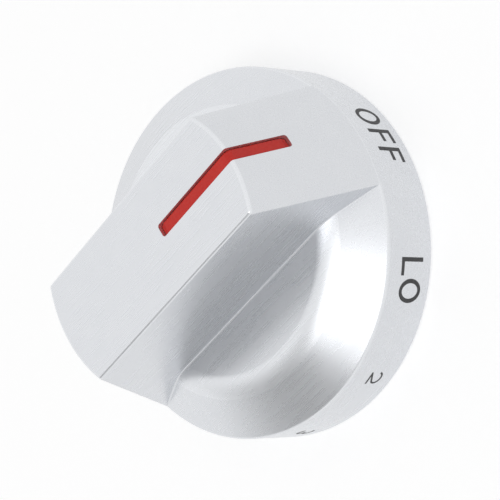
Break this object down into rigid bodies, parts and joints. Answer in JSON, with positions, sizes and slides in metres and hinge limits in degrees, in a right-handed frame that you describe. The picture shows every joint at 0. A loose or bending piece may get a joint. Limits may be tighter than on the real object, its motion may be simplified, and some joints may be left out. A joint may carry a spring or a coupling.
{
  "type": "stove knob",
  "caption": "Round control knob with a broad grip bar from rim to rim, a bent pointer strip and a D-shaped shaft hole with a leaf spring.",
  "frame": {"origin": "centre of the knob's back plane, on the shaft axis", "axes": "+Z out of the cooker's panel towards the user, +Y towards the pointer's end of the grip bar"},
  "size_m": [0.0508, 0.0508, 0.0264],
  "materials": {
    "silver_shell": "satin",
    "red_pointer": "gloss",
    "spring_steel": "satin"
  },
  "bodies": {
    "root": {"knob_body": "silver_shell", "pointer_insert": "red_pointer", "shaft_spring": "spring_steel"}
  },
  "joints": []
}
